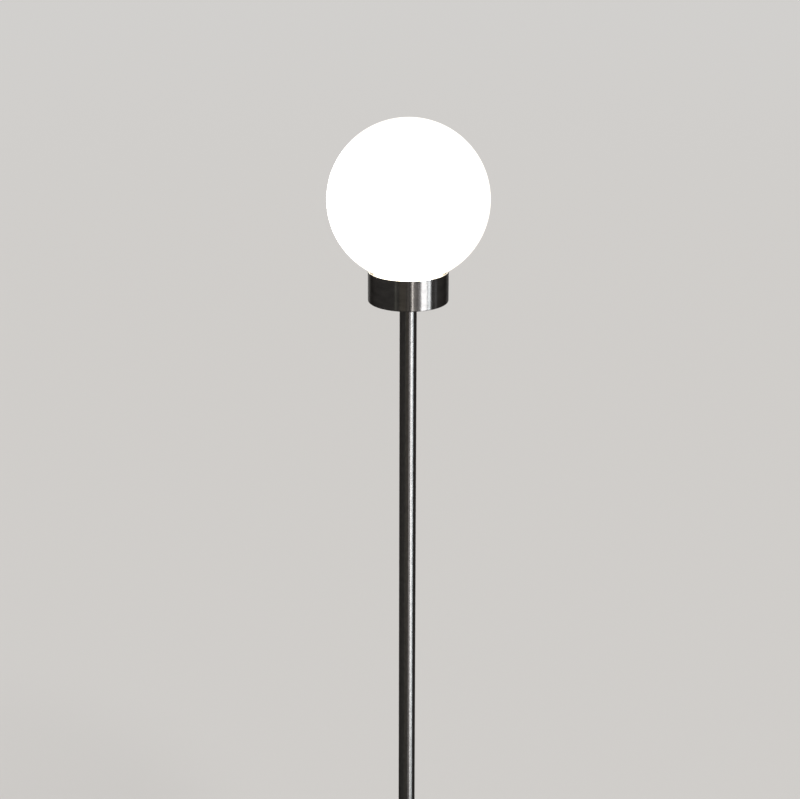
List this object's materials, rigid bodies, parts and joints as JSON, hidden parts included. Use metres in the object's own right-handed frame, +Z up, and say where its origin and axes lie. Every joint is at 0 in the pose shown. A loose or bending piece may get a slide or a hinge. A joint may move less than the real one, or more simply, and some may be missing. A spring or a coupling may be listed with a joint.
{
  "type": "floor lamp",
  "caption": "Globe floor lamp: a lit opal glass ball standing in a short steel cup on a slim steel pole, on a round weighted base.",
  "frame": {"origin": "centre of the base's underside, on the floor", "axes": "+Z up along the lamp's axis; the mains cord's inlet faces +Y, the back"},
  "size_m": [0.275, 0.2762, 1.253],
  "materials": {
    "opal_glass": "glossy opal glass, white all through, lit from inside",
    "turned_steel": "dark steel, turned and brushed round its axis, satin gloss",
    "pole_steel": "dark drawn tube, brushed round its axis, satin gloss",
    "zinc_steel": "bright zinc plating on pressed and turned steel",
    "spring_steel": "hardened spring strip, dull blued grey",
    "iron": "rough casting with a thin black paint",
    "brass": "plain machined brass",
    "nickel_brass": "nickel-plated brass",
    "silicone": "soft milky silicone rubber",
    "black_rubber": "matt black rubber",
    "pad_foam": "closed-cell foam pad, matt",
    "holder_plastic": "black moulded thermoset, low gloss",
    "holder_ceramic": "white glazed insulator",
    "block_plastic": "natural white moulded plastic",
    "bulb_plastic": "white moulded housing",
    "bulb_opal": "opal dome, satin, lit from inside",
    "bulb_glass": "black glass plug",
    "bulb_metal": "thin rolled screw cap",
    "solder": "tin solder",
    "board": "white lacquered board",
    "lead_sheath": "white sheathed lead",
    "core_insulation": "insulated cores",
    "earth_insulation": "green and yellow insulated wire"
  },
  "bodies": {
    "stand": {"cup": "turned_steel", "gallery_pan": "zinc_steel", "neck_gasket": "silicone", "globe_clips": "spring_steel", "clip_rivets": "zinc_steel", "lock_washer": "zinc_steel", "cup_nut": "zinc_steel", "top_threaded_tube": "zinc_steel", "pole": "pole_steel", "pole_top_bush": "zinc_steel", "pole_bottom_bush": "zinc_steel", "base_threaded_tube": "zinc_steel", "base_washer": "zinc_steel", "base_nut": "zinc_steel", "base_cover": "turned_steel", "base_weight": "iron", "floor_pad": "pad_foam", "cord_grommet": "black_rubber", "terminal_block": "block_plastic", "clamp_screws": "nickel_brass", "block_screws": "zinc_steel", "earth_tag": "nickel_brass", "earth_screw": "zinc_steel", "earth_link": "earth_insulation", "base_cores": "core_insulation", "inner_lead": "lead_sheath", "holder_cores": "core_insulation", "holder_cap": "holder_plastic", "holder_insulator": "holder_ceramic", "holder_terminals": "brass", "centre_contact": "brass", "socket_shell": "nickel_brass", "holder_skirt": "holder_plastic"},
    "globe": {"glass_globe": "opal_glass"},
    "bulb_carrier": {"bulb_tip": "solder"},
    "bulb": {"bulb_insulator": "bulb_glass", "bulb_screw_cap": "bulb_metal", "bulb_collar": "bulb_plastic", "bulb_board": "board", "bulb_envelope": "bulb_opal"}
  },
  "joints": [
    {"name": "globe_lift", "type": "slide", "parent": "stand", "child": "globe", "axis": [0, 0, 1], "range_m": [0, 0.165]},
    {"name": "bulb_rise", "type": "slide", "parent": "stand", "child": "bulb_carrier", "axis": [0, 0, 1], "range_m": [0, 0.0182]},
    {"name": "bulb_turn", "type": "hinge", "parent": "bulb_carrier", "child": "bulb", "pos_m": [0, 0, 1.07], "axis": [0, 0, 1], "range_deg": [0, 1800]}
  ],
  "couplings": [
    {"joint": "bulb_rise", "follows": "bulb_turn", "m_per_rad": 0.00057757}
  ]
}
